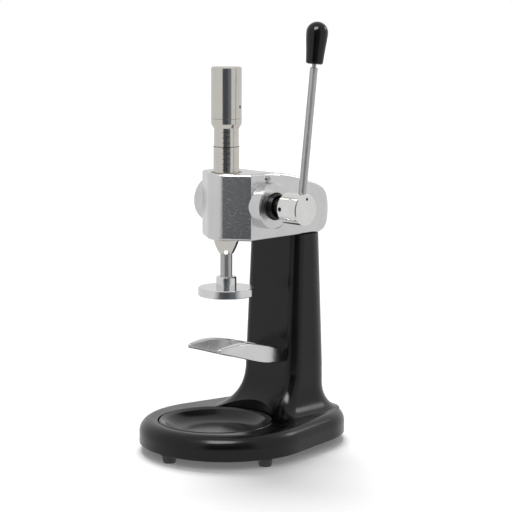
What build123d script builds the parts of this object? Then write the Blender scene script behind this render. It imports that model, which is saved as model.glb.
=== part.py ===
from build123d import *
import os
from math import acos, asin, cos, pi, radians, sin, sqrt, tan

# Lever-operated coffee tamping press.
# All sizes are in millimetres. Everything is laid out about the tamping axis: x = 0, y = 0 is the axis
# of the ram, z = 0 is the surface the press stands on, the front is -Y and the lever is on the +X side.
# ORIGIN_SHIFT moves each finished piece so that the origin is the bottom centre of the whole press's box.

# ---- base -------------------------------------------------------------------------------------------
BASE_FRONT_R = 90.0        # front arc of the base outline, centred on the tamping axis
BASE_REAR_R = 78.0         # rear arc of the base outline
BASE_REAR_Y = 67.0         # centre of the rear arc
BASE_BOTTOM_Z = 8.0        # lower rim of the casting, on its feet
BASE_TOP_Z = 33.0
BASE_SHOULDER_R = 13.0
BASE_WALL = 7.0
BASE_SKIRT_DEPTH = 8.0     # depth of the hollow under the whole base

FOOT_R = 7.9
FOOT_TIP_R = 6.2
FOOT_RECESS = 4.0          # how far a foot reaches up into its boss
FOOT_CIRCLE_R = 81.0
FOOT_BOSS_R = 9.0
FOOT_ANGLES = {"foot_front": -90, "foot_right": -16, "foot_left": 196}
FOOT_REAR_X = 44.0
FOOT_REAR_Y = 108.0
FOOT_SCREW_R = 2.0

# ---- drip dish and its pocket -----------------------------------------------------------------------
DISH_Y = -15.0
DISH_R = 59.2
DISH_TOP_Z = 33.4
DISH_GAP = 1.0
POCKET_FLOOR_Z = 20.0
DISH_THICKNESS = 1.8
DISH_RIM_R = 1.5
DISH_FLOOR_R = 30.0

# ---- column -----------------------------------------------------------------------------------------
COLUMN_TOP_Z = 220.5
FLARE_FRONT = 50.0         # how far the flare spreads at its front, sides and rear
FLARE_SIDE = 23.0
FLARE_REAR = 13.0
FLARE_FRONT_HEIGHT = 44.0
FLARE_SIDE_HEIGHT = 28.0
FLARE_REAR_HEIGHT = 22.0
FLARE_STEPS = 8
FLARE_TURN = 84.0          # degrees of the quarter ellipse that shapes the flare
FLARE_SINK = 1.2           # how far the flare's edge runs into the base
COLUMN_WALL = 6.0
COLUMN_ROOF = 14.0
# half width, front face y, rear face y, front corner radius, rear corner radius
COLUMN_TOP_SECTION = (36.4, 68.0, 115.0, 11.0, 25.0)
COLUMN_FOOT_SECTION = (38.4, 61.0, 121.0, 12.0, 26.0)
HEAD_BOLT_R = 5.0
HEAD_BOLT_X = 17.0
HEAD_BOLT_Y = 92.0
HEAD_BOLT_HEAD_R = 8.0
HEAD_BOLT_HEAD_H = 9.0
HEAD_BOLT_REACH = 22.0     # how far the bolts reach into the head
HEAD_WASHER_R = 9.5
HEAD_WASHER_THICKNESS = 2.0

# ---- head casting -----------------------------------------------------------------------------------
HEAD_BOTTOM_Z = COLUMN_TOP_Z
HEAD_TOP_Z = 288.8
HEAD_NOSE_R = 19.9
HEAD_HALF_WIDTH = 35.4
HEAD_REAR_Y = 102.6        # centre of the rounded rear end
HEAD_CROWN_Y = 18.0        # where the top starts to curve down
HEAD_CROWN_R = 208.0
HEAD_CROWN_TURN = 24.7     # degrees turned by the crown before the rear end begins
HEAD_REAR_R = 30.0
HEAD_EDGE_R = 3.0
HEAD_CORNER_R = 2.5        # where the flanks of the nose meet the flat sides

# ---- pinion, rack and ram ---------------------------------------------------------------------------
PINION_Y = 22.5
PINION_Z = 256.0
MODULE = 1.25
PINION_TEETH = 20
PITCH_R = MODULE * PINION_TEETH / 2
PRESSURE_ANGLE = 20.0
BACKLASH = 0.30
PINION_HALF_WIDTH = 9.0
SHAFT_R = 9.0
FIT = 0.05                 # radial clearance of every running fit
LEVER_SWING = 125.0        # degrees of lever travel
RAM_TRAVEL = PITCH_R * radians(LEVER_SWING)
LEVER_REST_TILT = 7.2      # the lever leans back this far at rest

BOSS_ROOT_R = 24.0
BOSS_FACE_R = 23.2
BOSS_FACE_X = 48.6
CROSS_BORE_R = 14.2
BUSH_LENGTH = 24.0
BUSH_OUTER_X = 40.0
BEARING_CAP_THICKNESS = 5.0
BEARING_CAP_SCREW_CIRCLE_R = 18.6
BEARING_CAP_SCREW_R = 1.5
ANCHOR_PIN_Y = 24.0
ANCHOR_PIN_Z = 282.9
ANCHOR_PIN_R = 2.6
COIL_WIRE_R = 1.0          # the return spring round the shaft
COIL_MEAN_R = 12.0
COIL_PITCH = 2.3
COIL_TURNS = 5

RAM_R = 13.2
RAM_UPPER_R = 12.75
RAM_SHOULDER_Z = 315.7
RAM_TIP_Z = 205.4
RAM_TIP_R = 7.3
RAM_CONE_Z = 219.5
RAM_TOP_Z = 372.0
RAM_THREAD_R = 12.0
RAM_THREAD_Z = 343.0
GUIDE_BUSH_R = 16.0
GUIDE_BUSH_LENGTH = 18.0

# ---- plunger, spring and tamper ---------------------------------------------------------------------
PLUNGER_R = 6.2
PLUNGER_FLANGE_R = 9.2
PLUNGER_FLANGE_Z = 300.0
PLUNGER_FLANGE_H = 4.0
PLUNGER_GUIDE_R = 5.0
PLUNGER_GUIDE_H = 12.0
PLUNGER_TRAVEL = 10.0
SPRING_BORE_R = 9.5
SPRING_WIRE_R = 1.1
SPRING_MEAN_R = 7.6
SPRING_TOP_Z = 340.0
SPRING_TURNS = 7
TAMPER_R = 29.0
TAMPER_TOP_Z = 170.2
TAMPER_THICKNESS = 8.4
TAMPER_BOSS_R = 10.5
TAMPER_BOSS_TOP_Z = 181.5
TAMPER_SOCKET_DEPTH = 9.0
SET_SCREW_R = 1.6          # the small set screws of the tamper and the cap

# ---- adjusting cap ----------------------------------------------------------------------------------
CAP_R = 15.7
CAP_TOP_Z = 396.0
CAP_BOTTOM_Z = 344.0
RING_BOTTOM_Z = 334.2
CAP_ROOF = 6.0
CAP_SCREW_Z = 355.8
CAP_SCREW_ANGLE = 17.0
RING_SPIGOT_R = 14.0
RING_SPIGOT_H = 6.0
SEAT_STEM_R = 5.0
SEAT_FLANGE_H = 4.0
THRUST_BALL_R = 3.0

# ---- lever ------------------------------------------------------------------------------------------
HUB_R = 15.8
HUB_INNER_X = 63.3
HUB_OUTER_X = 90.0
HUB_BORE_END_X = 76.0
LEVER_X = 83.0
LEVER_R = 4.0
HUB_SCREW_X = 68.5
HUB_SCREW_R = 2.3
HUB_SCREW_LENGTH = 5.0
ROD_LOCK_R = 1.5
ROD_LOCK_Y = PINION_Y + 1.4
ROD_LOCK_Z = PINION_Z + 10.7
LEVER_START = 2.0          # distances along the lever are from the pinion axis
LEVER_NECK_START = 142.0
LEVER_NECK_R = 2.3
KNOB_START = 145.3
KNOB_LENGTH = 42.4
KNOB_R = 10.95
KNOB_BASE_R = 7.4
KNOB_STUD_DEPTH = 16.0

# ---- portafilter fork -------------------------------------------------------------------------------
FORK_TIP_Y = -33.0
FORK_TIP_X = 22.5
FORK_TOP_Z = 113.0
FORK_ROOT_X = 21.0
FORK_ROOT_TOP_Z = 99.0
FORK_ROOT_BOTTOM_Z = 86.0
FORK_SLOT_R = 16.0
FORK_SLOT_END_Y = 37.0
FORK_EDGE_R = 1.2
FORK_SCREW_X = 11.0
FORK_SCREW_Z = 92.5
FORK_SCREW_R = 3.0
FORK_SCREW_LENGTH = 22.0

# The knob reaches furthest to the right, the base furthest to the left, the front and the rear.
ORIGIN_SHIFT = Pos(
    -(LEVER_X + KNOB_R - BASE_FRONT_R) / 2,
    -(BASE_REAR_Y + BASE_REAR_R - BASE_FRONT_R) / 2,
    0,
)

os.makedirs("parts", exist_ok=True)


# ---- helpers ----------------------------------------------------------------------------------------
def z_cylinder(radius, z0, z1, x=0.0, y=0.0):
    return Pos(x, y, (z0 + z1) / 2) * Cylinder(radius, z1 - z0)


def x_cylinder(radius, x0, x1, y=PINION_Y, z=PINION_Z):
    return Pos((x0 + x1) / 2, y, z) * Rot(0, 90, 0) * Cylinder(radius, abs(x1 - x0))


def y_cylinder(radius, y0, y1, x=0.0, z=0.0):
    return Pos(x, (y0 + y1) / 2, z) * Rot(90, 0, 0) * Cylinder(radius, abs(y1 - y0))


def turned(profile, y=0.0):
    """Solid of revolution about the vertical line x = 0 through y, from (radius, z) points or a face."""
    face = make_face(Plane.XZ * Polyline(*profile, close=True)) if isinstance(profile, list) else profile
    return Pos(0, y, 0) * revolve(face, Axis.Z)


def along_lever(piece):
    """Stands a piece built upwards from the origin on the lever's axis, at its rest tilt."""
    return Pos(LEVER_X, PINION_Y, PINION_Z) * Rot(-LEVER_REST_TILT, 0, 0) * piece


def socket_screw(shank_r, shank_length, head_r, head_h, hex_across):
    """Cap screw with a hexagon socket, head upwards, seated on z = 0."""
    screw = Pos(0, 0, -shank_length / 2) * Cylinder(shank_r, shank_length)
    screw += Pos(0, 0, head_h / 2) * Cylinder(head_r, head_h)
    socket = extrude(RegularPolygon(hex_across / sqrt(3), 6), head_h * 0.6)
    return screw - Pos(0, 0, head_h * 0.4) * socket


def grub_screw(radius, length, hex_across):
    """Set screw lying along +Z from the origin, its hexagon socket at the far end."""
    screw = Pos(0, 0, length / 2) * Cylinder(radius, length)
    socket = extrude(RegularPolygon(hex_across / sqrt(3), 6), length * 0.6)
    return screw - Pos(0, 0, length * 0.5) * socket


def ring(outer_r, inner_r, z0, z1):
    return z_cylinder(outer_r, z0, z1) - z_cylinder(inner_r, z0 - 1, z1 + 1)


# ---- base and column --------------------------------------------------------------------------------
def egg_outline(inset=0.0):
    """Outline of the base: a front arc and a smaller rear arc joined by straight tangents."""
    front_r = BASE_FRONT_R - inset
    rear_r = BASE_REAR_R - inset
    lean = asin((front_r - rear_r) / BASE_REAR_Y)
    front_x, front_y = front_r * cos(lean), front_r * sin(lean)
    rear_x, rear_y = rear_r * cos(lean), BASE_REAR_Y + rear_r * sin(lean)
    edges = [
        ThreePointArc((-front_x, front_y), (0, -front_r), (front_x, front_y)),
        Line((front_x, front_y), (rear_x, rear_y)),
        ThreePointArc((rear_x, rear_y), (0, BASE_REAR_Y + rear_r), (-rear_x, rear_y)),
        Line((-rear_x, rear_y), (-front_x, front_y)),
    ]
    return make_face(edges)


def column_section(section, z, front=0.0, side=0.0, rear=0.0):
    """Rounded column section at height z, spread by the given amounts at its front, sides and rear."""
    half_width, front_y, rear_y, front_r, rear_r = section
    x, y0, y1 = half_width + side, front_y - front, rear_y + rear
    r0, r1 = front_r + side * 0.8, rear_r + side * 0.5
    k0, k1 = r0 * (1 - sqrt(0.5)), r1 * (1 - sqrt(0.5))
    edges = [
        Line((-x + r0, y0), (x - r0, y0)),
        ThreePointArc((x - r0, y0), (x - k0, y0 + k0), (x, y0 + r0)),
        Line((x, y0 + r0), (x, y1 - r1)),
        ThreePointArc((x, y1 - r1), (x - k1, y1 - k1), (x - r1, y1)),
        Line((x - r1, y1), (-x + r1, y1)),
        ThreePointArc((-x + r1, y1), (-x + k1, y1 - k1), (-x, y1 - r1)),
        Line((-x, y1 - r1), (-x, y0 + r0)),
        ThreePointArc((-x, y0 + r0), (-x + k0, y0 + k0), (-x + r0, y0)),
    ]
    return Pos(0, 0, z) * make_face(edges)


def flare_spread(reach, height, z):
    """How far a flare of the given reach and height stands out from the column at height z."""
    drop = max(0.0, BASE_TOP_Z + height - z) / (height + FLARE_SINK)
    return reach * (1 - sqrt(1 - (drop * sin(radians(FLARE_TURN))) ** 2))


def column_body():
    """The upright and the flare that spreads it into the base."""
    flare_top_z = BASE_TOP_Z + FLARE_FRONT_HEIGHT
    upright = loft(
        [column_section(COLUMN_FOOT_SECTION, flare_top_z), column_section(COLUMN_TOP_SECTION, COLUMN_TOP_Z)],
        ruled=True,
    )
    sections = []
    for step in range(FLARE_STEPS + 1):
        turn = radians(FLARE_TURN) * step / FLARE_STEPS
        z = flare_top_z - (FLARE_FRONT_HEIGHT + FLARE_SINK) * sin(turn) / sin(radians(FLARE_TURN))
        front = flare_spread(FLARE_FRONT, FLARE_FRONT_HEIGHT, z)
        side = flare_spread(FLARE_SIDE, FLARE_SIDE_HEIGHT, z)
        rear = flare_spread(FLARE_REAR, FLARE_REAR_HEIGHT, z)
        sections.append(column_section(COLUMN_FOOT_SECTION, z, front, side, rear))
    flare = loft(sections)
    root = extrude(sections[-1], -4.0)
    return upright + flare + root


def column_hollow():
    wall = COLUMN_WALL
    inner = []
    ends = ((COLUMN_FOOT_SECTION, BASE_BOTTOM_Z), (COLUMN_TOP_SECTION, COLUMN_TOP_Z - COLUMN_ROOF))
    for section, z in ends:
        half_width, front_y, rear_y, front_r, rear_r = section
        shrunk = (half_width - wall, front_y + wall, rear_y - wall, front_r - wall, rear_r - wall)
        inner.append(column_section(shrunk, z))
    return loft(inner, ruled=True)


def foot_places():
    places = {}
    for name, angle in FOOT_ANGLES.items():
        places[name] = (FOOT_CIRCLE_R * cos(radians(angle)), FOOT_CIRCLE_R * sin(radians(angle)))
    places["foot_rear_right"] = (FOOT_REAR_X, FOOT_REAR_Y)
    places["foot_rear_left"] = (-FOOT_REAR_X, FOOT_REAR_Y)
    return places


def stand_casting():
    slab = extrude(egg_outline(), BASE_TOP_Z - BASE_BOTTOM_Z)
    slab = Pos(0, 0, BASE_BOTTOM_Z) * slab
    slab = fillet(slab.faces().sort_by(Axis.Z)[-1].edges(), BASE_SHOULDER_R)
    slab = fillet(slab.faces().sort_by(Axis.Z)[0].edges(), 1.0)
    body = slab + column_body()
    body -= Pos(0, 0, BASE_BOTTOM_Z) * extrude(egg_outline(BASE_WALL), BASE_SKIRT_DEPTH)
    for x, y in foot_places().values():
        body += z_cylinder(FOOT_BOSS_R, BASE_BOTTOM_Z, BASE_BOTTOM_Z + BASE_SKIRT_DEPTH + 1, x, y)
    body -= column_hollow()
    body -= z_cylinder(DISH_R + DISH_GAP, POCKET_FLOOR_Z, BASE_TOP_Z + FLARE_FRONT_HEIGHT, 0, DISH_Y)
    for x, y in foot_places().values():
        body -= z_cylinder(FOOT_R, 0, BASE_BOTTOM_Z + FOOT_RECESS, x, y)
        body -= z_cylinder(FOOT_SCREW_R, 0, BASE_BOTTOM_Z + FOOT_RECESS + 6, x, y)
    for bolt in head_bolt_places():
        body -= z_cylinder(HEAD_BOLT_R, COLUMN_TOP_Z - COLUMN_ROOF - 1, COLUMN_TOP_Z + 1, *bolt)
    for x in (-FORK_SCREW_X, FORK_SCREW_X):
        body -= y_cylinder(FORK_SCREW_R, 50, 80, x, FORK_SCREW_Z)
    return body


def foot(x, y):
    """Rubber foot: a tapered pad on a plug that sits in the casting, drilled for its screw."""
    plug_top = BASE_BOTTOM_Z + FOOT_RECESS
    profile = [
        (0, 0), (FOOT_TIP_R, 0), (FOOT_TIP_R + 0.4, 0.8), (FOOT_R, BASE_BOTTOM_Z), (FOOT_R, plug_top),
        (0, plug_top),
    ]
    pad = turned(profile)
    pad -= z_cylinder(FOOT_SCREW_R, -1, plug_top + 1)
    pad -= z_cylinder(3.8, -1, 4.0)
    return Pos(x, y, 0) * pad


def foot_screws():
    screws = []
    for x, y in foot_places().values():
        screws.append(Pos(x, y, 4.0) * Rot(180, 0, 0) * socket_screw(FOOT_SCREW_R, 13.0, 3.6, 2.4, 2.5))
    return Compound(screws)


def drip_dish():
    """Shallow round dish with a rolled rim, standing on the pocket floor."""
    r, top, t = DISH_R, DISH_TOP_Z, DISH_THICKNESS
    floor = POCKET_FLOOR_Z
    outer = [
        Line((0, floor), (DISH_FLOOR_R, floor)),
        Spline(
            (DISH_FLOOR_R, floor), (r - 14, floor + 3.0), (r - 2.2 * DISH_RIM_R, top - 3.6),
            tangents=((1, 0.02), (0.75, 0.66)),
        ),
        Line((r - 2.2 * DISH_RIM_R, top - 3.6), (r, top - 2.4)),
        ThreePointArc((r, top - 2.4), (r - 0.8, top - 0.6), (r - 2.6, top)),
        Line((r - 2.6, top), (r - 6.5, top - 1.6)),
        Spline(
            (r - 6.5, top - 1.6), (r - 15, floor + 3.4 + t), (DISH_FLOOR_R, floor + t),
            tangents=((-0.75, -0.66), (-1, -0.02)),
        ),
        Line((DISH_FLOOR_R, floor + t), (0, floor + t)),
        Line((0, floor + t), (0, floor)),
    ]
    face = make_face([Plane.XZ * edge for edge in outer])
    return turned(face, DISH_Y)


# ---- head -------------------------------------------------------------------------------------------
def head_bolt_places():
    return [(-HEAD_BOLT_X, HEAD_BOLT_Y), (HEAD_BOLT_X, HEAD_BOLT_Y)]


def head_outline():
    """Plan of the head: a round nose, two flanks tangent to it, flat sides and a round rear."""
    half = HEAD_HALF_WIDTH
    reach = acos(HEAD_NOSE_R / half)
    nose_x, nose_y = HEAD_NOSE_R * cos(reach), -HEAD_NOSE_R * sin(reach)
    edges = [
        ThreePointArc((-nose_x, nose_y), (0, -HEAD_NOSE_R), (nose_x, nose_y)),
        Line((nose_x, nose_y), (half, 0)),
        Line((half, 0), (half, HEAD_REAR_Y)),
        ThreePointArc((half, HEAD_REAR_Y), (0, HEAD_REAR_Y + half), (-half, HEAD_REAR_Y)),
        Line((-half, HEAD_REAR_Y), (-half, 0)),
        Line((-half, 0), (-nose_x, nose_y)),
    ]
    return make_face(edges)


def head_profile():
    """Side view of the head: a long crown on top that tightens into a round rear end, flat underneath."""
    front_y = -HEAD_NOSE_R - 5
    crown = JernArc((HEAD_CROWN_Y, HEAD_TOP_Z), (1, 0), HEAD_CROWN_R, -HEAD_CROWN_TURN)
    rear = JernArc(crown @ 1, crown % 1, HEAD_REAR_R, HEAD_CROWN_TURN - 90)
    under_r = (rear @ 1).Y - HEAD_BOTTOM_Z
    under = JernArc(rear @ 1, (0, -1), under_r, -90)
    edges = [
        crown,
        rear,
        under,
        Line(under @ 1, (front_y, HEAD_BOTTOM_Z)),
        Line((front_y, HEAD_BOTTOM_Z), (front_y, HEAD_TOP_Z)),
        Line((front_y, HEAD_TOP_Z), crown @ 0),
    ]
    return make_face([Plane.YZ * edge for edge in edges])


def is_head_rim(edge):
    """True for the edges where the head's sides meet its top, rear and underside."""
    start, end = edge @ 0, edge @ 1
    upright = abs(start.X - end.X) < 0.01 and abs(start.Y - end.Y) < 0.01
    straight_across = edge.geom_type == GeomType.LINE and abs(start.Y - end.Y) < 0.01
    return not upright and not straight_across


def head_casting():
    block = Pos(0, 0, HEAD_BOTTOM_Z) * extrude(head_outline(), HEAD_TOP_Z - HEAD_BOTTOM_Z)
    corners = block.edges().filter_by(Axis.Z).filter_by_position(Axis.Y, -1, 1)
    block = fillet(corners, HEAD_CORNER_R)
    side = extrude(head_profile(), HEAD_HALF_WIDTH + 5, both=True)
    block = block & side
    block = fillet([edge for edge in block.edges() if is_head_rim(edge)], HEAD_EDGE_R)
    for side_sign in (-1, 1):
        root = Plane((side_sign * (HEAD_HALF_WIDTH - 3), PINION_Y, PINION_Z), z_dir=(side_sign, 0, 0))
        face_x = BOSS_FACE_X if side_sign > 0 else BOSS_FACE_X - BEARING_CAP_THICKNESS
        height = face_x - HEAD_HALF_WIDTH + 3
        slope = (BOSS_ROOT_R - BOSS_FACE_R) / (BOSS_FACE_X - HEAD_HALF_WIDTH + 3)
        on_root = (Align.CENTER, Align.CENTER, Align.MIN)
        boss = root * Cone(BOSS_ROOT_R, BOSS_ROOT_R - slope * height, height, align=on_root)
        if side_sign > 0:
            boss = chamfer(boss.edges().filter_by(GeomType.CIRCLE).sort_by(Axis.X)[-1], 1.2)
        block += boss
    block -= z_cylinder(GUIDE_BUSH_R, HEAD_BOTTOM_Z - 1, HEAD_BOTTOM_Z + GUIDE_BUSH_LENGTH)
    block -= z_cylinder(GUIDE_BUSH_R, HEAD_TOP_Z - GUIDE_BUSH_LENGTH, HEAD_TOP_Z + 1)
    block -= z_cylinder(RAM_R + 1.3, HEAD_BOTTOM_Z, HEAD_TOP_Z)
    block -= x_cylinder(CROSS_BORE_R, -BOSS_FACE_X - 1, BOSS_FACE_X + 1)
    for x, y in head_bolt_places():
        block -= z_cylinder(HEAD_BOLT_R, HEAD_BOTTOM_Z - 1, HEAD_BOTTOM_Z + HEAD_BOLT_REACH, x, y)
    block -= x_cylinder(ANCHOR_PIN_R, HEAD_HALF_WIDTH - 8, HEAD_HALF_WIDTH + 6, ANCHOR_PIN_Y, ANCHOR_PIN_Z)
    for y, z in bearing_cap_screw_places():
        block -= x_cylinder(BEARING_CAP_SCREW_R, -BOSS_FACE_X, -BOSS_FACE_X + BEARING_CAP_THICKNESS + 9, y, z)
    return block


def head_bolts():
    """Bolts driven up from inside the column into the head."""
    bolts = []
    seat_z = COLUMN_TOP_Z - COLUMN_ROOF - HEAD_WASHER_THICKNESS
    length = HEAD_WASHER_THICKNESS + COLUMN_ROOF + HEAD_BOLT_REACH - 4
    for x, y in head_bolt_places():
        bolt = socket_screw(HEAD_BOLT_R, length, HEAD_BOLT_HEAD_R, HEAD_BOLT_HEAD_H, HEAD_BOLT_HEAD_R)
        bolts.append(Pos(x, y, seat_z) * Rot(180, 0, 0) * bolt)
    return Compound(bolts)


def head_washers():
    seat_z = COLUMN_TOP_Z - COLUMN_ROOF
    washers = []
    for x, y in head_bolt_places():
        washer = ring(HEAD_WASHER_R, HEAD_BOLT_R, seat_z - HEAD_WASHER_THICKNESS, seat_z)
        washers.append(Pos(x, y, 0) * washer)
    return Compound(washers)


def guide_bush(z0):
    return ring(GUIDE_BUSH_R, RAM_R + FIT, z0, z0 + GUIDE_BUSH_LENGTH)


def shaft_bush(side_sign):
    x0, x1 = BUSH_OUTER_X - BUSH_LENGTH, BUSH_OUTER_X
    bush = x_cylinder(CROSS_BORE_R, side_sign * x0, side_sign * x1)
    bush -= x_cylinder(SHAFT_R + FIT, side_sign * (x0 - 1), side_sign * (x1 + 1))
    return bush - z_cylinder(RAM_R + 0.8, HEAD_BOTTOM_Z, HEAD_TOP_Z)


def bearing_cap_screw_places():
    radius = BEARING_CAP_SCREW_CIRCLE_R
    places = []
    for angle in (90, 210, 330):
        places.append((PINION_Y + radius * cos(radians(angle)), PINION_Z + radius * sin(radians(angle))))
    return places


def bearing_cap():
    """Domed cover that closes the far end of the cross bore."""
    inner_x = -(BOSS_FACE_X - BEARING_CAP_THICKNESS)
    disc = x_cylinder(BOSS_FACE_R, inner_x, -BOSS_FACE_X)
    disc = fillet(disc.edges().filter_by(GeomType.CIRCLE).sort_by(Axis.X)[0], 3.0)
    spigot = x_cylinder(CROSS_BORE_R - FIT, inner_x + 2.5, inner_x)
    cap = disc + spigot
    for y, z in bearing_cap_screw_places():
        cap -= x_cylinder(BEARING_CAP_SCREW_R, inner_x + 1, -BOSS_FACE_X - 1, y, z)
        cap -= x_cylinder(3.0, -BOSS_FACE_X + 2.5, -BOSS_FACE_X - 1, y, z)
    return cap


def bearing_cap_screws():
    screws = []
    for y, z in bearing_cap_screw_places():
        screw = socket_screw(BEARING_CAP_SCREW_R, 10.0, 2.8, 2.2, 2.0)
        screws.append(Pos(-BOSS_FACE_X + 2.5, y, z) * Rot(0, -90, 0) * screw)
    return Compound(screws)


def return_spring():
    """Torsion spring round the pinion shaft, in the mouth of the boss."""
    start_x = BUSH_OUTER_X + 1.6
    coil = Helix(COIL_PITCH, COIL_PITCH * COIL_TURNS, COIL_MEAN_R)
    section = Plane(coil @ 0, z_dir=coil % 0) * Circle(COIL_WIRE_R)
    spring = sweep(section, path=coil, is_frenet=True)
    return Pos(start_x, PINION_Y, PINION_Z) * Rot(0, 90, 0) * spring


def anchor_pin():
    pin = x_cylinder(ANCHOR_PIN_R, HEAD_HALF_WIDTH - 8, HEAD_HALF_WIDTH + 2.0, ANCHOR_PIN_Y, ANCHOR_PIN_Z)
    return chamfer(pin.edges().filter_by(GeomType.CIRCLE).sort_by(Axis.X)[-1], 0.5)


# ---- fork -------------------------------------------------------------------------------------------
def meets_column(edge):
    """True for the edges of the face that the fork presses against the column."""
    return min((edge @ 0).Y, (edge @ 1).Y) > COLUMN_FOOT_SECTION[1]


def portafilter_fork():
    """Open fork that the filter holder rests on: tapered arms, pointed tips and a round slot."""
    slot_centre_y = FORK_SLOT_END_Y - FORK_SLOT_R
    tip_inner_x = FORK_TIP_X - 2.4
    root_y = 72.0
    edges = []
    for s in (1, -1):
        outer = Spline(
            (s * FORK_ROOT_X, root_y), (s * 24.0, 38), (s * 26.5, 5),
            (s * (FORK_TIP_X + 1.2), FORK_TIP_Y + 2.0),
            tangents=((s * 0.02, -1), (-s * 0.35, -1)),
        )
        tip = ThreePointArc(
            (s * (FORK_TIP_X + 1.2), FORK_TIP_Y + 2.0), (s * (FORK_TIP_X - 0.6), FORK_TIP_Y),
            (s * tip_inner_x, FORK_TIP_Y + 1.6),
        )
        inner = Line((s * tip_inner_x, FORK_TIP_Y + 1.6), (s * FORK_SLOT_R, slot_centre_y))
        edges += [outer, tip, inner]
    edges.append(
        ThreePointArc((FORK_SLOT_R, slot_centre_y), (0, FORK_SLOT_END_Y), (-FORK_SLOT_R, slot_centre_y))
    )
    edges.append(Line((-FORK_ROOT_X, root_y), (FORK_ROOT_X, root_y)))
    plan = extrude(make_face(edges), FORK_TOP_Z + 10)
    top = Spline(
        (-45, FORK_TOP_Z - 2.0), (-4, FORK_TOP_Z + 1.0), (32, FORK_TOP_Z - 5), (root_y, FORK_ROOT_TOP_Z - 10),
        tangents=((1, 0.05), (1, -1.1)),
    )
    bottom = Spline(
        (-45, FORK_TOP_Z - 2.2), (-5, FORK_TOP_Z - 13.2), (28, FORK_ROOT_BOTTOM_Z + 4.2),
        (root_y, FORK_ROOT_BOTTOM_Z - 0.5), tangents=((1, -0.22), (1, -0.02)),
    )
    outline = [top, Line(top @ 1, bottom @ 1), bottom, Line(bottom @ 0, top @ 0)]
    side = extrude(make_face([Plane.YZ * edge for edge in outline]), 40, both=True)
    fork = plan & side
    fork -= column_body()
    free_edges = [edge for edge in fork.edges() if not meets_column(edge)]
    fork = fillet(free_edges, FORK_EDGE_R)
    for x in (-FORK_SCREW_X, FORK_SCREW_X):
        fork -= y_cylinder(FORK_SCREW_R, 46, 80, x, FORK_SCREW_Z)
    return fork


def fork_screws():
    """Screws that hold the fork, driven from inside the hollow column."""
    rise = (FORK_SCREW_Z - BASE_BOTTOM_Z) / (COLUMN_TOP_Z - COLUMN_ROOF - BASE_BOTTOM_Z)
    lean = COLUMN_TOP_SECTION[1] - COLUMN_FOOT_SECTION[1]
    inner_y = COLUMN_FOOT_SECTION[1] + COLUMN_WALL + lean * rise + 0.3
    screws = []
    for x in (-FORK_SCREW_X, FORK_SCREW_X):
        screw = socket_screw(FORK_SCREW_R, FORK_SCREW_LENGTH, 5.0, 5.0, 5.0)
        screws.append(Pos(x, inner_y, FORK_SCREW_Z) * Rot(-90, 0, 0) * screw)
    return Compound(screws)


# ---- pinion and lever -------------------------------------------------------------------------------
def involute_flank(base_r, outer_r, steps):
    """Points of one involute flank from the base circle to the outer circle."""
    points = []
    limit = sqrt((outer_r / base_r) ** 2 - 1)
    for step in range(steps + 1):
        roll = limit * step / steps
        x = base_r * (cos(roll) + roll * sin(roll))
        y = base_r * (sin(roll) - roll * cos(roll))
        points.append((x, y))
    return points


def rotated(point, angle):
    x, y = point
    return (x * cos(angle) - y * sin(angle), x * sin(angle) + y * cos(angle))


def gear_face():
    """Section of the pinion, with one tooth centred on the local +X direction."""
    pressure = radians(PRESSURE_ANGLE)
    base_r = PITCH_R * cos(pressure)
    outer_r = PITCH_R + MODULE
    root_r = PITCH_R - 1.25 * MODULE
    half_tooth = (pi * MODULE / 2 - BACKLASH / 2) / PITCH_R / 2
    offset = half_tooth + tan(pressure) - pressure
    flank = involute_flank(base_r, outer_r, 4)
    outline = []
    for tooth in range(PINION_TEETH):
        middle = 2 * pi * tooth / PINION_TEETH
        lower = [rotated(p, middle - offset) for p in flank]
        upper = [rotated((x, -y), middle + offset) for x, y in reversed(flank)]
        start, end = rotated((root_r, 0), middle - offset), rotated((root_r, 0), middle + offset)
        outline += [start] + lower + upper + [end]
    return make_face(Polyline(*outline, close=True))


def pinion_shaft():
    """Shaft with its pinion cut in one piece."""
    teeth = extrude(gear_face(), PINION_HALF_WIDTH, both=True)
    teeth = Pos(0, PINION_Y, PINION_Z) * Rot(0, 90, 0) * Rot(0, 0, 270) * teeth
    shaft = x_cylinder(SHAFT_R, -BUSH_OUTER_X + 0.4, HUB_BORE_END_X)
    return teeth + shaft


def lever_hub():
    hub = x_cylinder(HUB_R, HUB_INNER_X, HUB_OUTER_X)
    rims = hub.edges().filter_by(GeomType.CIRCLE).sort_by(Axis.X)
    hub = chamfer(rims[-1], 0.8)
    hub = chamfer(hub.edges().filter_by(GeomType.CIRCLE).sort_by(Axis.X)[0], 2.0)
    hub -= x_cylinder(SHAFT_R, HUB_INNER_X - 1, HUB_BORE_END_X)
    hub -= along_lever(z_cylinder(LEVER_R, LEVER_START, HUB_R + 5))
    hub -= hub_screw_hole()
    hub -= x_cylinder(ROD_LOCK_R, LEVER_X, HUB_OUTER_X + 1, ROD_LOCK_Y, ROD_LOCK_Z)
    return hub


def hub_screw_hole():
    return y_cylinder(HUB_SCREW_R, PINION_Y - HUB_R - 1, PINION_Y - SHAFT_R, HUB_SCREW_X, PINION_Z)


def hub_set_screw():
    screw = grub_screw(HUB_SCREW_R, HUB_SCREW_LENGTH, 2.2)
    return Pos(HUB_SCREW_X, PINION_Y - SHAFT_R, PINION_Z) * Rot(90, 0, 0) * screw


def rod_lock_screw():
    start_x = LEVER_X + LEVER_R
    screw = grub_screw(ROD_LOCK_R, HUB_OUTER_X - start_x - 0.6, 1.5)
    return Pos(start_x, ROD_LOCK_Y, ROD_LOCK_Z) * Rot(0, 90, 0) * screw


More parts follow.
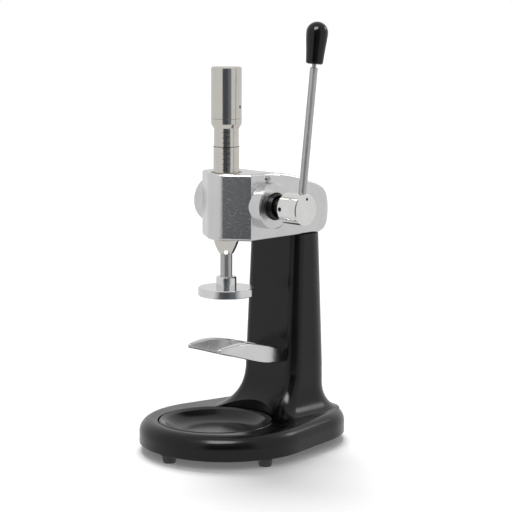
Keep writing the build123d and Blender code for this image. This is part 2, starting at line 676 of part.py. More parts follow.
def lever_rod():
    rod = z_cylinder(LEVER_R, LEVER_START, LEVER_NECK_START)
    rod = chamfer(rod.edges().filter_by(GeomType.CIRCLE), 0.5)
    rod += z_cylinder(LEVER_NECK_R, LEVER_NECK_START - 1, KNOB_START + KNOB_STUD_DEPTH)
    return along_lever(rod)


def lever_knob():
    """Pear-shaped knob with a blind hole for the lever's stud."""
    top = KNOB_START + KNOB_LENGTH
    wide = top - KNOB_R
    edges = [
        Line((0, KNOB_START), (KNOB_BASE_R - 1, KNOB_START)),
        ThreePointArc(
            (KNOB_BASE_R - 1, KNOB_START), (KNOB_BASE_R + 0.6, KNOB_START + 0.6),
            (KNOB_BASE_R + 1.3, KNOB_START + 2),
        ),
        Spline(
            (KNOB_BASE_R + 1.3, KNOB_START + 2), (9.6, KNOB_START + 14), (KNOB_R, wide),
            tangents=((0.08, 1), (0, 1)),
        ),
        ThreePointArc(
            (KNOB_R, wide), (KNOB_R * cos(pi / 4), wide + KNOB_R * sin(pi / 4)), (0, top)
        ),
        Line((0, top), (0, KNOB_START)),
    ]
    knob = turned(make_face([Plane.XZ * edge for edge in edges]))
    knob -= z_cylinder(LEVER_NECK_R, KNOB_START - 1, KNOB_START + KNOB_STUD_DEPTH)
    return along_lever(knob)


# ---- ram --------------------------------------------------------------------------------------------
def rack_gaps():
    """The spaces between the rack's straight-sided teeth, as one cutting solid."""
    pressure = radians(PRESSURE_ANGLE)
    pitch = pi * MODULE
    pitch_y = PINION_Y - PITCH_R
    tip_y = pitch_y + MODULE
    root_y = pitch_y - 1.25 * MODULE
    half_gap = pitch / 4 + BACKLASH / 4
    spread = tan(pressure)
    gaps = None
    first = -2
    last = int(RAM_TRAVEL / pitch) + 3
    for index in range(first, last + 1):
        z = PINION_Z + index * pitch
        at_root = half_gap - (pitch_y - root_y) * spread
        at_tip = half_gap + (tip_y + 3 - pitch_y) * spread
        points = [
            (root_y, z - at_root), (tip_y + 3, z - at_tip), (tip_y + 3, z + at_tip), (root_y, z + at_root),
        ]
        gap = extrude(make_face(Plane.YZ * Polyline(*points, close=True)), 12, both=True)
        gaps = gap if gaps is None else gaps + gap
    flat_z0, flat_z1 = PINION_Z + (first - 0.5) * pitch, PINION_Z + (last + 0.5) * pitch
    flat = Pos(0, tip_y + 3, (flat_z0 + flat_z1) / 2) * Box(24, 6, flat_z1 - flat_z0)
    return gaps + flat


def ram_sleeve():
    """Sliding ram: tapered nose, rack at the back, spring chamber and a shank for the adjusting cap."""
    nose = ThreePointArc((RAM_TIP_R, RAM_TIP_Z), (11.2, 213.4), (RAM_R, RAM_CONE_Z))
    edges = [
        Line((PLUNGER_R + FIT, RAM_TIP_Z), (RAM_TIP_R, RAM_TIP_Z)),
        nose,
        Line((RAM_R, RAM_CONE_Z), (RAM_R, RAM_SHOULDER_Z)),
        Line((RAM_R, RAM_SHOULDER_Z), (RAM_UPPER_R, RAM_SHOULDER_Z)),
        Line((RAM_UPPER_R, RAM_SHOULDER_Z), (RAM_UPPER_R, RAM_THREAD_Z)),
        Line((RAM_UPPER_R, RAM_THREAD_Z), (RAM_THREAD_R, RAM_THREAD_Z)),
        Line((RAM_THREAD_R, RAM_THREAD_Z), (RAM_THREAD_R, RAM_TOP_Z)),
        Line((RAM_THREAD_R, RAM_TOP_Z), (SPRING_BORE_R, RAM_TOP_Z)),
        Line((SPRING_BORE_R, RAM_TOP_Z), (SPRING_BORE_R, PLUNGER_FLANGE_Z)),
        Line((SPRING_BORE_R, PLUNGER_FLANGE_Z), (PLUNGER_R + FIT, PLUNGER_FLANGE_Z)),
        Line((PLUNGER_R + FIT, PLUNGER_FLANGE_Z), (PLUNGER_R + FIT, RAM_TIP_Z)),
    ]
    ram = turned(make_face([Plane.XZ * edge for edge in edges]))
    return ram - rack_gaps()


# ---- plunger and tamper -----------------------------------------------------------------------------
def plunger_rod():
    bottom = TAMPER_BOSS_TOP_Z - TAMPER_SOCKET_DEPTH
    flange_top = PLUNGER_FLANGE_Z + PLUNGER_FLANGE_H
    rod = z_cylinder(PLUNGER_R, bottom, PLUNGER_FLANGE_Z)
    rod += z_cylinder(PLUNGER_FLANGE_R, PLUNGER_FLANGE_Z, flange_top)
    rod += z_cylinder(PLUNGER_GUIDE_R, flange_top, flange_top + PLUNGER_GUIDE_H)
    return rod


def compression_spring():
    """Load spring between the plunger's flange and the spring seat."""
    z0 = PLUNGER_FLANGE_Z + PLUNGER_FLANGE_H + SPRING_WIRE_R
    z1 = SPRING_TOP_Z - SPRING_WIRE_R
    coil = Helix((z1 - z0) / SPRING_TURNS, z1 - z0, SPRING_MEAN_R)
    section = Plane(coil @ 0, z_dir=coil % 0) * Circle(SPRING_WIRE_R)
    return Pos(0, 0, z0) * sweep(section, path=coil, is_frenet=True)


def tamper_disc():
    bottom = TAMPER_TOP_Z - TAMPER_THICKNESS
    plate = z_cylinder(TAMPER_R, bottom, TAMPER_TOP_Z)
    plate = chamfer(plate.edges().filter_by(GeomType.CIRCLE), 0.6)
    boss = z_cylinder(TAMPER_BOSS_R, TAMPER_TOP_Z - 1, TAMPER_BOSS_TOP_Z)
    boss = chamfer(boss.edges().filter_by(GeomType.CIRCLE).sort_by(Axis.Z)[-1], 1.0)
    disc = plate + boss
    disc -= z_cylinder(PLUNGER_R, TAMPER_BOSS_TOP_Z - TAMPER_SOCKET_DEPTH, TAMPER_BOSS_TOP_Z + 1)
    return disc - tamper_screw_axis() * z_cylinder(SET_SCREW_R, PLUNGER_R, TAMPER_BOSS_R + 1)


def tamper_screw_axis():
    """Frame of the tamper's set screw: +Z points out of the boss to the left front."""
    return Pos(0, 0, TAMPER_BOSS_TOP_Z - 4.5) * Rot(0, 0, 208) * Rot(0, 90, 0)


def tamper_set_screw():
    return tamper_screw_axis() * Pos(0, 0, PLUNGER_R) * grub_screw(SET_SCREW_R, 3.6, SET_SCREW_R)


# ---- adjusting cap ----------------------------------------------------------------------------------
def cap_screw_axis():
    return Pos(0, 0, CAP_SCREW_Z) * Rot(0, 0, CAP_SCREW_ANGLE) * Rot(0, 90, 0)


def adjusting_cap():
    cap = z_cylinder(CAP_R, CAP_BOTTOM_Z, CAP_TOP_Z)
    cap = chamfer(cap.edges().filter_by(GeomType.CIRCLE).sort_by(Axis.Z)[-1], 1.2)
    cap -= z_cylinder(RING_SPIGOT_R, CAP_BOTTOM_Z - 1, CAP_BOTTOM_Z + RING_SPIGOT_H)
    cap -= z_cylinder(RAM_THREAD_R + FIT, CAP_BOTTOM_Z, CAP_TOP_Z - CAP_ROOF)
    return cap - cap_screw_axis() * z_cylinder(SET_SCREW_R, RAM_THREAD_R - 1, CAP_R + 1)


def index_ring():
    """Ring under the cap whose lower edge is read against the graduations."""
    profile = [
        (RAM_UPPER_R + FIT, RING_BOTTOM_Z), (13.4, RING_BOTTOM_Z), (CAP_R, RING_BOTTOM_Z + 4.2),
        (CAP_R, CAP_BOTTOM_Z - 0.5), (CAP_R - 0.5, CAP_BOTTOM_Z), (RING_SPIGOT_R, CAP_BOTTOM_Z),
        (RING_SPIGOT_R, CAP_BOTTOM_Z + RING_SPIGOT_H), (RAM_UPPER_R + FIT, CAP_BOTTOM_Z + RING_SPIGOT_H),
    ]
    return turned(profile)


def cap_set_screw():
    start = RAM_THREAD_R + FIT + 0.3
    return cap_screw_axis() * Pos(0, 0, start) * grub_screw(SET_SCREW_R, CAP_R - start - 0.4, SET_SCREW_R)


def spring_seat():
    """Pressure piece that the cap drives down on to the load spring."""
    roof_z = CAP_TOP_Z - CAP_ROOF
    stem_top = roof_z - THRUST_BALL_R
    seat = z_cylinder(SPRING_BORE_R - 0.3, SPRING_TOP_Z, SPRING_TOP_Z + SEAT_FLANGE_H)
    seat += z_cylinder(SEAT_STEM_R, SPRING_TOP_Z, stem_top)
    return seat - Pos(0, 0, stem_top) * Sphere(THRUST_BALL_R)


def thrust_ball():
    return Pos(0, 0, CAP_TOP_Z - CAP_ROOF - THRUST_BALL_R) * Sphere(THRUST_BALL_R)


# ---- every node -------------------------------------------------------------------------------------
nodes = {
    "stand_casting": stand_casting(),
    "foot_screws": foot_screws(),
    "drip_dish": drip_dish(),
    "head_casting": head_casting(),
    "head_bolts": head_bolts(),
    "head_washers": head_washers(),
    "guide_bush_lower": guide_bush(HEAD_BOTTOM_Z),
    "guide_bush_upper": guide_bush(HEAD_TOP_Z - GUIDE_BUSH_LENGTH),
    "shaft_bush_right": shaft_bush(1),
    "shaft_bush_left": shaft_bush(-1),
    "bearing_cap": bearing_cap(),
    "bearing_cap_screws": bearing_cap_screws(),
    "return_spring": return_spring(),
    "anchor_pin": anchor_pin(),
    "portafilter_fork": portafilter_fork(),
    "fork_screws": fork_screws(),
    "pinion_shaft": pinion_shaft(),
    "lever_hub": lever_hub(),
    "hub_set_screw": hub_set_screw(),
    "rod_lock_screw": rod_lock_screw(),
    "lever_rod": lever_rod(),
    "lever_knob": lever_knob(),
    "ram_sleeve": ram_sleeve(),
    "plunger_rod": plunger_rod(),
    "compression_spring": compression_spring(),
    "tamper_disc": tamper_disc(),
    "tamper_set_screw": tamper_set_screw(),
    "adjusting_cap": adjusting_cap(),
    "index_ring": index_ring(),
    "cap_set_screw": cap_set_screw(),
    "spring_seat": spring_seat(),
    "thrust_ball": thrust_ball(),
}
for foot_name, (foot_x, foot_y) in foot_places().items():
    nodes[foot_name] = foot(foot_x, foot_y)

for name, piece in nodes.items():
    export_step(ORIGIN_SHIFT * piece, "parts/" + name + ".step")
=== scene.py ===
from math import cos, pi, radians, sin

import bpy
from mathutils import Matrix, Vector


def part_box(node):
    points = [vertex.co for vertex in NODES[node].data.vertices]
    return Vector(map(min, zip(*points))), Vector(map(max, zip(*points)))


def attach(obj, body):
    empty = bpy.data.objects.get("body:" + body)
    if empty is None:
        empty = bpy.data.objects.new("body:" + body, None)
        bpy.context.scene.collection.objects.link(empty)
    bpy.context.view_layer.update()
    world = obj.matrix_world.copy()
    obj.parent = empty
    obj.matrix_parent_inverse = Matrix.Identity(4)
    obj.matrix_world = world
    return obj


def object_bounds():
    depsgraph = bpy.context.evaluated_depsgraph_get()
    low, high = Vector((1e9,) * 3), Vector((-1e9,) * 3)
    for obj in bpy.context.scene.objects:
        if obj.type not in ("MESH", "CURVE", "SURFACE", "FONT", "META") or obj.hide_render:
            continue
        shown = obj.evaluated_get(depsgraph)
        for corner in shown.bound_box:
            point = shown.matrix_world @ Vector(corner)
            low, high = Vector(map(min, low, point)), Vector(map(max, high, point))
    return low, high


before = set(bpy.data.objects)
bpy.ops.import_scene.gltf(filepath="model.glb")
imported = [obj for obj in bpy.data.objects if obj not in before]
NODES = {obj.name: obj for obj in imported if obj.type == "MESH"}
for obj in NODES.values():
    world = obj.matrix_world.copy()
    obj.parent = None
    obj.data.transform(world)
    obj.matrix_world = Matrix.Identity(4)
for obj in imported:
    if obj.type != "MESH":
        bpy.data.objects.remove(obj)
cad_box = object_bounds()

# ---- places read from the frame, in metres ----------------------------------------------------------
RAM_LOW, RAM_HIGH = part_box("ram_sleeve")
RAM_AXIS = Vector(((RAM_LOW.x + RAM_HIGH.x) / 2, (RAM_LOW.y + RAM_HIGH.y) / 2, 0))
RAM_R = (RAM_HIGH.x - RAM_LOW.x) / 2
HUB_LOW, HUB_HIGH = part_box("lever_hub")
LEVER_AXIS = Vector((0, (HUB_LOW.y + HUB_HIGH.y) / 2, (HUB_LOW.z + HUB_HIGH.z) / 2))
CENTRE = (Vector(cad_box[0]) + Vector(cad_box[1])) / 2

# ---- the scale on the ram and the painted shade line at its shoulder, in metres ----------------------
SHOULDER_Z = 0.3157                  # the ram is a little thinner above this
UPPER_R = 0.01275
MARK_LIFT = 0.00003                  # the marks lie this far off the metal
MARK_START_Z = 0.2925
MARK_STEP = 0.0027
MARK_COUNT = 15
MARK_AZIMUTH = radians(43)
MARK_GAP = radians(4)                # from the middle of the scale to the ticks' right ends
LONG_TICK = radians(12)
SHORT_TICK = radians(7)
TICK_STEPS = 5
TICK_HALF_HEIGHT = 0.0003
NUMBER_STEP = 5                      # each long tick carries the next multiple of this
NUMERAL_SIZE = 0.0044
NUMERAL_START = radians(1)           # the numbers start this far left of the middle of the scale
SHOULDER_SHADE_DROP = 0.0004          # the painted shade line round the ram lies this far below the shoulder step
SHOULDER_SHADE_STEPS = 96

# ---- camera and studio ------------------------------------------------------------------------------
CAMERA_AZIMUTH = radians(44.2)       # from straight in front, towards the lever's side
CAMERA_ELEVATION = radians(8.68)
CAMERA_DISTANCE = 2.033
CAMERA_LENS = 137.23
CAMERA_ROLL = radians(0.175)
CAMERA_TARGET = CENTRE + Vector((-0.0020, 0.0162, -0.0235))
BACKDROP_SEEN = 1.0                  # radiance of the backdrop as the camera sees it
BACKDROP_MIRRORED = 0.80             # as the polished parts mirror it
BACKDROP_FILL = 0.42                 # as light on matt surfaces
CARD_UNEVENNESS = 0.28               # a card's glow varies by this share of its strength
CARD_PATCH_SCALE = 2.4
CARD_PATCH_RANGE = (0.35, 0.65)      # of the noise that makes the glow uneven
CARD_FADE = (0.05, 0.28)             # metres from the card's middle, where a dimmed card brightens
FLOOR_HALF = 8.0
FLOOR_TONE = 0.9
FLOOR_GLOW = 0.12                    # lifts the lit floor to plain white
NOISE_RANGE = (0.3, 0.7)             # of a noise texture, where a material spreads it out


def direction(azimuth, elevation):
    """Unit vector from the press towards a place at that azimuth and elevation."""
    return Vector((sin(azimuth) * cos(elevation), -cos(azimuth) * cos(elevation), sin(elevation)))


def facing_matrix(place, back, roll=0.0):
    """Puts an object's local +Z along back, with its local +Y upwards."""
    right = Vector((0, 0, 1)).cross(back).normalized()
    up = back.cross(right)
    turned_right = right * cos(roll) + up * sin(roll)
    turned_up = up * cos(roll) - right * sin(roll)
    return Matrix.Translation(place) @ Matrix((turned_right, turned_up, back)).transposed().to_4x4()


def rectangle(x, y):
    """Corners of a flat rectangle about the origin, from its half width and half depth."""
    return [(-x, -y, 0), (x, -y, 0), (x, y, 0), (-x, y, 0)]


def link(obj):
    bpy.context.scene.collection.objects.link(obj)
    return obj


def map_range(tree, value, source, target):
    """Adds a node that maps a value from its source range to its target range."""
    node = tree.nodes.new("ShaderNodeMapRange")
    for name, number in zip(("From Min", "From Max", "To Min", "To Max"), (*source, *target)):
        node.inputs[name].default_value = number
    tree.links.new(value, node.inputs["Value"])
    return node.outputs[0]


def make_camera():
    data = bpy.data.cameras.new("camera")
    data.lens = CAMERA_LENS
    data.sensor_width = 36
    data.clip_end = 50
    camera = link(bpy.data.objects.new("camera", data))
    back = direction(CAMERA_AZIMUTH, CAMERA_ELEVATION)
    camera.matrix_world = facing_matrix(CAMERA_TARGET + back * CAMERA_DISTANCE, back, CAMERA_ROLL)
    bpy.context.scene.camera = camera


def make_world():
    world = bpy.data.worlds.new("studio")
    world.use_nodes = True
    tree = world.node_tree
    tree.nodes["Background"].inputs["Color"].default_value = (1, 1, 1, 1)
    path = tree.nodes.new("ShaderNodeLightPath")
    mirrored = tree.nodes.new("ShaderNodeMapRange")
    mirrored.inputs["To Min"].default_value = BACKDROP_FILL
    mirrored.inputs["To Max"].default_value = BACKDROP_MIRRORED
    seen = tree.nodes.new("ShaderNodeMapRange")
    seen.inputs["To Max"].default_value = BACKDROP_SEEN
    tree.links.new(path.outputs["Is Glossy Ray"], mirrored.inputs["Value"])
    tree.links.new(mirrored.outputs[0], seen.inputs["To Min"])
    tree.links.new(path.outputs["Is Camera Ray"], seen.inputs["Value"])
    tree.links.new(seen.outputs[0], tree.nodes["Background"].inputs["Strength"])
    bpy.context.scene.world = world
    bpy.context.scene.view_settings.view_transform = "Standard"


def make_floor():
    mesh = bpy.data.meshes.new("floor")
    mesh.from_pydata(rectangle(FLOOR_HALF, FLOOR_HALF), [], [(0, 1, 2, 3)])
    floor = link(bpy.data.objects.new("floor", mesh))
    material = bpy.data.materials.new("floor_paper")
    material.use_nodes = True
    shader = material.node_tree.nodes["Principled BSDF"]
    shader.inputs["Base Color"].default_value = (FLOOR_TONE, FLOOR_TONE, FLOOR_TONE, 1)
    shader.inputs["Roughness"].default_value = 1.0
    shader.inputs["Specular IOR Level"].default_value = 0.0
    shader.inputs["Emission Color"].default_value = (1, 1, 1, 1)
    shader.inputs["Emission Strength"].default_value = FLOOR_GLOW
    tree = material.node_tree
    plain = tree.nodes.new("ShaderNodeEmission")
    plain.inputs["Strength"].default_value = BACKDROP_MIRRORED
    mix = tree.nodes.new("ShaderNodeMixShader")
    tree.links.new(tree.nodes.new("ShaderNodeLightPath").outputs["Is Camera Ray"], mix.inputs["Fac"])
    tree.links.new(plain.outputs[0], mix.inputs[1])
    tree.links.new(shader.outputs[0], mix.inputs[2])
    tree.links.new(mix.outputs[0], tree.nodes["Material Output"].inputs["Surface"])
    mesh.materials.append(material)


def card_material(name, colour, strength, dim_share):
    """Uneven glow. With dim_share, the card's -X side has only that share of its strength."""
    material = bpy.data.materials.new(name)
    material.use_nodes = True
    tree = material.node_tree
    tree.nodes.remove(tree.nodes["Principled BSDF"])
    emission = tree.nodes.new("ShaderNodeEmission")
    emission.inputs["Color"].default_value = (*colour, 1)
    tree.links.new(emission.outputs[0], tree.nodes["Material Output"].inputs["Surface"])
    coordinate = tree.nodes.new("ShaderNodeTexCoord").outputs["Object"]
    patches = tree.nodes.new("ShaderNodeTexNoise")
    patches.inputs["Scale"].default_value = CARD_PATCH_SCALE
    tree.links.new(coordinate, patches.inputs["Vector"])
    limits = (strength * (1 - CARD_UNEVENNESS), strength * (1 + CARD_UNEVENNESS))
    glow = map_range(tree, patches.outputs["Fac"], CARD_PATCH_RANGE, limits)
    if dim_share is not None:
        parts = tree.nodes.new("ShaderNodeSeparateXYZ")
        tree.links.new(coordinate, parts.inputs[0])
        product = tree.nodes.new("ShaderNodeMath")
        product.operation = "MULTIPLY"
        tree.links.new(glow, product.inputs[0])
        tree.links.new(map_range(tree, parts.outputs["X"], CARD_FADE, (dim_share, 1)), product.inputs[1])
        glow = product.outputs[0]
    tree.links.new(glow, emission.inputs["Strength"])
    return material


def square_to_ram(azimuth, elevation, distance, height=0.2):
    """Place of a card square to the line from a point on the ram's axis, at that direction and distance."""
    back = direction(azimuth, elevation)
    return facing_matrix(RAM_AXIS + Vector((0, 0, height)) + back * distance, back)


def reflector(name, place, size, colour, strength, dim_share=None):
    """A card of the given width and height, seen only in reflections."""
    mesh = bpy.data.meshes.new(name)
    mesh.from_pydata(rectangle(size[0] / 2, size[1] / 2), [], [(0, 1, 2, 3)])
    card = link(bpy.data.objects.new(name, mesh))
    card.matrix_world = place
    mesh.materials.append(card_material(name, colour, strength, dim_share))
    card.visible_camera = False
    card.visible_diffuse = False
    card.visible_shadow = False
    card.visible_transmission = False
    card.visible_volume_scatter = False


def sun_light(name, azimuth, elevation, spread, strength):
    data = bpy.data.lights.new(name, "SUN")
    data.angle = spread
    data.energy = strength
    light = link(bpy.data.objects.new(name, data))
    light.matrix_world = facing_matrix(Vector((0, 0, 2)), direction(azimuth, elevation))
    light.visible_glossy = False


def make_studio():
    make_camera()
    make_world()
    make_floor()
    white = (1, 1, 1)
    middle = CAMERA_AZIMUTH + radians(5)
    front = square_to_ram(middle, 0, distance=0.9, height=0.62)
    reflector("card_dark_front", front, (1.15, 1.6), (0.80, 0.89, 1.0), strength=0.22, dim_share=0.35)
    top = square_to_ram(CAMERA_AZIMUTH - radians(8), radians(50), distance=1.3)
    reflector("card_top", top, (0.7, 0.85), white, strength=12.5)
    rear = square_to_ram(CAMERA_AZIMUTH + radians(118), radians(31), distance=1.3)
    reflector("card_rear", rear, (0.35, 0.3), white, strength=5.0)
    just_above_floor = Matrix.Translation(RAM_AXIS + direction(middle, 0) * 0.85 + Vector((0, 0, 0.001)))
    flat = just_above_floor @ Matrix.Rotation(middle, 4, "Z")
    reflector("card_dark_floor", flat, (1.3, 0.9), (0.9, 0.95, 1.0), strength=0.10)
    sun_light("key", CAMERA_AZIMUTH + radians(186), radians(54), spread=radians(34), strength=2.9)


# ---- materials --------------------------------------------------------------------------------------
class Graph:
    """A material's node tree around its Principled shader."""

    def __init__(self, name, colour, roughness, metallic=0.0):
        self.material = bpy.data.materials.new(name)
        self.material.use_nodes = True
        self.tree = self.material.node_tree
        self.shader = self.tree.nodes["Principled BSDF"]
        self.set("Base Color", (*colour, 1))
        self.set("Roughness", roughness)
        self.set("Metallic", metallic)

    def set(self, socket, value):
        self.shader.inputs[socket].default_value = value

    def node(self, kind, **inputs):
        node = self.tree.nodes.new("ShaderNode" + kind)
        for name, value in inputs.items():
            socket = node.inputs[name.replace("_", " ")]
            if isinstance(value, bpy.types.NodeSocket):
                self.tree.links.new(value, socket)
            else:
                socket.default_value = value
        return node

    def place(self, origin=(0, 0, 0), scale=(1, 1, 1), turn=(0, 0, 0)):
        """The object's own coordinates, moved to origin, turned and scaled."""
        coordinate = self.node("TexCoord").outputs["Object"]
        mapping = self.node("Mapping", Vector=coordinate)
        mapping.vector_type = "TEXTURE"
        mapping.inputs["Location"].default_value = origin
        mapping.inputs["Rotation"].default_value = turn
        mapping.inputs["Scale"].default_value = tuple(1 / s for s in scale)
        return mapping.outputs[0]

    def noise(self, vector, scale, detail=3.0, roughness=0.5):
        node = self.node("TexNoise", Vector=vector, Scale=scale, Detail=detail, Roughness=roughness)
        return node.outputs["Fac"]

    def spread(self, fac, low, high):
        """Maps a texture's middle range to low..high."""
        return map_range(self.tree, fac, NOISE_RANGE, (low, high))

    def mix(self, fac, first, second):
        """Mixes two colours. The Mix node's sockets 6, 7 and 2 are the ones for colours."""
        node = self.tree.nodes.new("ShaderNodeMix")
        node.data_type = "RGBA"
        self.tree.links.new(fac, node.inputs["Factor"])
        for value, socket in ((first, node.inputs[6]), (second, node.inputs[7])):
            if isinstance(value, bpy.types.NodeSocket):
                self.tree.links.new(value, socket)
            else:
                socket.default_value = (*value, 1)
        return node.outputs[2]

    def math(self, operation, first, second=0.0):
        node = self.tree.nodes.new("ShaderNodeMath")
        node.operation = operation
        for value, socket in zip((first, second), node.inputs):
            if isinstance(value, bpy.types.NodeSocket):
                self.tree.links.new(value, socket)
            else:
                socket.default_value = value
        return node.outputs[0]

    def to(self, value, socket):
        self.tree.links.new(value, self.shader.inputs[socket])

    def bump(self, height, distance, strength=1.0):
        normal = self.shader.inputs["Normal"]
        node = self.node("Bump", Height=height, Distance=distance, Strength=strength)
        if normal.is_linked:
            self.tree.links.new(normal.links[0].from_socket, node.inputs["Normal"])
        self.to(node.outputs[0], "Normal")


def enamel():
    """Glossy black enamel over a cast surface: faint orange peel, dust and cloudy gloss."""
    g = Graph("black_enamel_coat", (0.006, 0.006, 0.007), 0.2)
    space = g.place()
    clouds = g.noise(space, scale=22, detail=4)
    g.to(g.mix(clouds, (0.0015, 0.0015, 0.0018), (0.0045, 0.004, 0.004)), "Base Color")
    g.to(g.spread(clouds, 0.16, 0.26), "Roughness")
    g.set("Specular IOR Level", 0.32)
    g.bump(g.noise(space, scale=420, detail=2), distance=0.00012, strength=0.25)
    g.bump(g.noise(space, scale=30, detail=2), distance=0.0006, strength=0.2)
    return g.material


def dish_gloss():
    g = Graph("dish_gloss", (0.008, 0.008, 0.009), 0.24)
    space = g.place()
    clouds = g.noise(space, scale=40, detail=3)
    g.to(g.spread(clouds, 0.15, 0.21), "Roughness")
    g.to(g.mix(clouds, (0.002, 0.002, 0.0024), (0.006, 0.006, 0.0066)), "Base Color")
    g.set("Specular IOR Level", 0.42)
    g.bump(g.noise(space, scale=60, detail=2), distance=0.0003, strength=0.15)
    return g.material


def linished_aluminium(name, grain_scale, tone=0.66):
    """Polished casting with fine directional grain and faint cloudiness."""
    g = Graph(name, (tone, tone, tone), 0.22, 1.0)
    space = g.place()
    clouds = g.noise(space, scale=28, detail=4)
    light, dark = tone * 1.12, tone * 0.86
    g.to(g.mix(clouds, (dark, dark, dark * 1.01), (light, light, light)), "Base Color")
    grain = g.noise(g.place(scale=grain_scale), scale=1.0, detail=3, roughness=0.6)
    g.to(g.spread(grain, 0.17, 0.28), "Roughness")
    g.bump(grain, distance=0.00005, strength=0.25)
    g.bump(clouds, distance=0.0005, strength=0.12)
    return g.material


def turned_metal(name, colour, axis, origin, roughness):
    """Metal turned on a lathe: fine rings about an axis through origin."""
    g = Graph(name, colour, roughness, 1.0)
    turn = {"Z": (0, 0, 0), "X": (0, pi / 2, 0)}[axis]
    local = g.place(origin=origin, turn=turn)
    parts = g.node("SeparateXYZ", Vector=local)
    radius = g.math("SQRT", g.math("ADD", g.math("MULTIPLY", parts.outputs["X"], parts.outputs["X"]),
                                   g.math("MULTIPLY", parts.outputs["Y"], parts.outputs["Y"])))
    along = g.math("ADD", radius, parts.outputs["Z"])
    line = g.node("CombineXYZ", X=along)
    grooves = g.noise(line.outputs[0], scale=2600, detail=2, roughness=0.7)
    clouds = g.noise(g.place(), scale=60, detail=3)
    low = tuple(c * 0.92 for c in colour)
    high = tuple(min(1.0, c * 1.05) for c in colour)
    g.to(g.mix(clouds, low, high), "Base Color")
    g.to(g.spread(grooves, roughness * 0.8, roughness * 1.25), "Roughness")
    g.bump(grooves, distance=0.00003, strength=0.15)
    return g.material


def plain_metal(name, colour, roughness):
    g = Graph(name, colour, roughness, 1.0)
    space = g.place()
    clouds = g.noise(space, scale=120, detail=4)
    g.to(g.mix(clouds, tuple(c * 0.85 for c in colour), tuple(min(1, c * 1.1) for c in colour)), "Base Color")
    g.to(g.spread(clouds, roughness * 0.75, roughness * 1.3), "Roughness")
    g.bump(g.noise(space, scale=1500, detail=2), distance=0.00003, strength=0.2)
    return g.material


def ground_bar(name, colour, roughness):
    """Drawn and ground bar, with faint lines along its length."""
    g = Graph(name, colour, roughness, 1.0)
    lengthwise = g.noise(g.place(scale=(2200, 2200, 40)), scale=1.0, detail=3, roughness=0.6)
    g.to(g.mix(lengthwise, tuple(c * 0.9 for c in colour), tuple(c * 1.05 for c in colour)), "Base Color")
    g.to(g.spread(lengthwise, roughness * 0.8, roughness * 1.2), "Roughness")
    g.bump(lengthwise, distance=0.00003, strength=0.2)
    return g.material


def phenolic():
    g = Graph("knob_phenolic", (0.006, 0.006, 0.006), 0.12)
    space = g.place()
    clouds = g.noise(space, scale=90, detail=3)
    g.to(g.mix(clouds, (0.002, 0.002, 0.002), (0.006, 0.006, 0.006)), "Base Color")
    g.set("Specular IOR Level", 0.36)
    g.to(g.spread(clouds, 0.09, 0.17), "Roughness")
    g.bump(g.noise(space, scale=300, detail=2), distance=0.00005, strength=0.2)
    return g.material


def moulded_rubber():
    g = Graph("foot_rubber_skin", (0.02, 0.02, 0.02), 0.6)
    space = g.place()
    grain = g.noise(space, scale=900, detail=3)
    g.to(g.mix(grain, (0.012, 0.012, 0.012), (0.03, 0.03, 0.03)), "Base Color")
    g.to(g.spread(grain, 0.5, 0.75), "Roughness")
    g.bump(grain, distance=0.0001, strength=0.4)
    return g.material


def dress():
    """Gives every CAD node its material."""
    ram_origin = tuple(RAM_AXIS)
    hub_origin = tuple(LEVER_AXIS)
    nickel = turned_metal("nickel_turned", (0.64, 0.615, 0.575), "Z", ram_origin, 0.15)
    bright_disc = turned_metal("aluminium_turned", (0.74, 0.74, 0.74), "Z", ram_origin, 0.16)
    bright_hub = turned_metal("aluminium_hub", (0.78, 0.78, 0.77), "X", hub_origin, 0.15)
    shaft = turned_metal("shaft_steel", (0.10, 0.10, 0.10), "X", hub_origin, 0.3)
    rod = ground_bar("bar_nickel", (0.47, 0.47, 0.46), 0.33)
    coats = {
        enamel(): ["stand_casting"],
        dish_gloss(): ["drip_dish"],
        linished_aluminium("head_polish", (260, 260, 2200)): ["head_casting", "bearing_cap"],
        linished_aluminium("fork_polish", (700, 500, 700), 0.7): ["portafilter_fork"],
        nickel: ["ram_sleeve", "adjusting_cap", "index_ring"],
        bright_disc: ["tamper_disc"],
        bright_hub: ["lever_hub"],
        shaft: ["pinion_shaft"],
        rod: ["lever_rod", "plunger_rod"],
        plain_metal("spring_wire", (0.05, 0.05, 0.052), 0.25): ["return_spring", "compression_spring"],
        plain_metal("seat_steel", (0.45, 0.45, 0.45), 0.25): ["spring_seat", "thrust_ball"],
        plain_metal("bush_bronze", (0.16, 0.10, 0.045), 0.45): [
            "guide_bush_lower", "guide_bush_upper", "shaft_bush_right", "shaft_bush_left"],
        plain_metal("pin_dark", (0.36, 0.36, 0.37), 0.35): ["anchor_pin"],
        plain_metal("screw_black", (0.03, 0.03, 0.032), 0.35): [
            "head_bolts", "bearing_cap_screws", "fork_screws", "hub_set_screw", "rod_lock_screw",
            "tamper_set_screw", "cap_set_screw"],
        plain_metal("screw_zinc", (0.55, 0.56, 0.58), 0.35): ["foot_screws", "head_washers"],
        phenolic(): ["lever_knob"],
        moulded_rubber(): ["foot_front", "foot_right", "foot_left", "foot_rear_right", "foot_rear_left"],
    }
    for material, names in coats.items():
        for name in names:
            mesh = NODES[name].data
            mesh.materials.clear()
            mesh.materials.append(material)


def on_ram(radius, azimuth, z):
    """Point on a cylinder about the ram's axis, at an azimuth from straight in front."""
    return RAM_AXIS + Vector((radius * sin(azimuth), -radius * cos(azimuth), z))


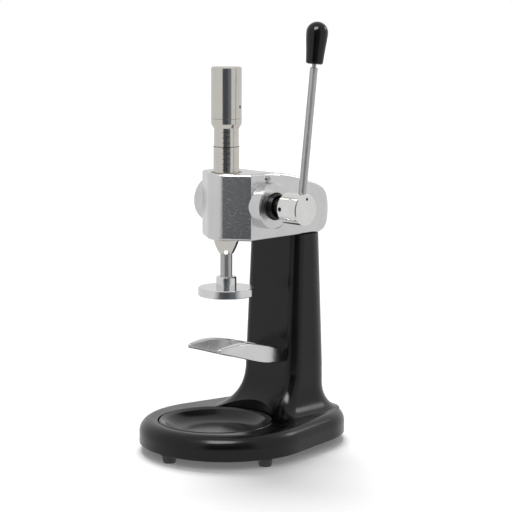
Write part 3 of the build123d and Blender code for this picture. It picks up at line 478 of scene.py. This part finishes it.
def numeral_outline(text, size):
    """Points and faces of the text, flat in x and y. It starts at x 0 and y 0 is near its mid-height."""
    curve = bpy.data.curves.new("numeral", "FONT")
    curve.body = text
    curve.size = size
    curve.resolution_u = 3
    curve.align_y = "CENTER"
    label = link(bpy.data.objects.new("numeral", curve))
    bpy.context.view_layer.update()
    flat = bpy.data.meshes.new_from_object(label.evaluated_get(bpy.context.evaluated_depsgraph_get()))
    points = [tuple(v.co) for v in flat.vertices]
    faces = [tuple(polygon.vertices) for polygon in flat.polygons]
    bpy.data.objects.remove(label)
    bpy.data.curves.remove(curve)
    bpy.data.meshes.remove(flat)
    return points, faces


def scale_marks_and_shoulder_shade():
    """Scale on the front of the ram: ticks and numbers, and a painted shade line round the shoulder step."""
    points, faces = [], []

    def radius_at(z):
        return (RAM_R if z < SHOULDER_Z else UPPER_R) + MARK_LIFT

    def band(z, half_height, start, end, steps):
        first = len(points)
        for step in range(steps + 1):
            azimuth = start + (end - start) * step / steps
            points.extend((on_ram(radius_at(z), azimuth, z - half_height),
                           on_ram(radius_at(z), azimuth, z + half_height)))
        for step in range(steps):
            a = first + 2 * step
            faces.append((a, a + 2, a + 3, a + 1))

    tick_end = MARK_AZIMUTH - MARK_GAP
    for index in range(MARK_COUNT):
        z = MARK_START_Z + index * MARK_STEP
        numbered = index % 2 == 0
        band(z, TICK_HALF_HEIGHT, tick_end - (LONG_TICK if numbered else SHORT_TICK), tick_end, TICK_STEPS)
        if numbered:
            first = len(points)
            outline, outline_faces = numeral_outline(str((index // 2 + 1) * NUMBER_STEP), NUMERAL_SIZE)
            for x, y, _ in outline:
                points.append(on_ram(radius_at(z), MARK_AZIMUTH - NUMERAL_START + x / RAM_R, z + y))
            faces.extend(tuple(first + i for i in face) for face in outline_faces)
    # painted shade: a dark band all round just below the shoulder step, standing for the step's shading
    band(SHOULDER_Z - SHOULDER_SHADE_DROP, TICK_HALF_HEIGHT, -pi, pi, SHOULDER_SHADE_STEPS)

    mesh = bpy.data.meshes.new("scale_marks_and_shoulder_shade")
    mesh.from_pydata(points, [], faces)
    # one dark material colours both the engraved ticks and numbers and the painted shade line at the shoulder
    mesh.materials.append(plain_metal("engraving_and_shoulder_shade", (0.015, 0.015, 0.015), 0.6))
    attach(link(bpy.data.objects.new("scale_marks_and_shoulder_shade", mesh)), "ram")


make_studio()
dress()
scale_marks_and_shoulder_shade()
